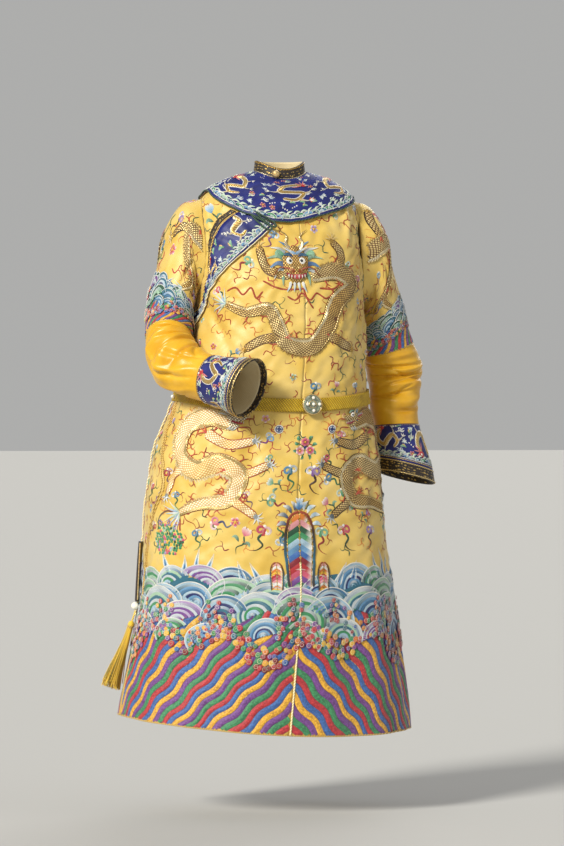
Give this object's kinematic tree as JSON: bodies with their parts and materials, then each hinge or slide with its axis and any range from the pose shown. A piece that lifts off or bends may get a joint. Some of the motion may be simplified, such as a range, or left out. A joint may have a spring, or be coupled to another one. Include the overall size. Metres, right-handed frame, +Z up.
{
  "type": "dragon robe with its belt, doll size, as worn",
  "caption": "Hollow worn dragon robe for a quarter-scale figure, with cape collar, horseshoe cuffs, belt and pendant.",
  "frame": {"origin": "on the line of the shoulders, midway between them and just under the neck opening, where the wearer's shoulders carry the robe", "axes": "+Z up, the front faces -Y, and +X is the wearer's left side"},
  "size_m": [0.1997, 0.1459, 0.3343],
  "materials": {
    "yellow_silk": "satin",
    "orange_satin": "satin",
    "blue_silk": "satin",
    "brocade": "matte",
    "webbing": "matte",
    "gilt": "polished",
    "buckle_jade": "polished",
    "pearl": "satin",
    "cord": "matte",
    "lacquer": "gloss",
    "tassel_silk": "satin"
  },
  "bodies": {
    "root": {"front_left": "yellow_silk", "front_right": "yellow_silk", "back_left": "yellow_silk", "back_right": "yellow_silk", "sleeve_upper_left": "yellow_silk", "sleeve_upper_right": "yellow_silk", "sleeve_lower_left": "orange_satin", "sleeve_lower_right": "orange_satin", "cuff_left": "blue_silk", "cuff_right": "blue_silk", "cuff_trim_left": "brocade", "cuff_trim_right": "brocade", "cape_collar": "blue_silk", "stand_collar": "brocade", "overlap_band": "blue_silk", "overlap_trim": "brocade", "neck_button": "gilt", "belt": "webbing", "buckle": "buckle_jade", "buckle_stud_1": "pearl", "buckle_stud_2": "pearl", "buckle_stud_3": "pearl", "buckle_stud_4": "pearl", "buckle_stud_5": "pearl", "belt_pearl_1": "pearl", "belt_pearl_2": "pearl", "pendant_cord": "cord", "pendant_case": "lacquer", "pendant_bead": "pearl", "pendant_tassel": "tassel_silk"}
  },
  "joints": []
}
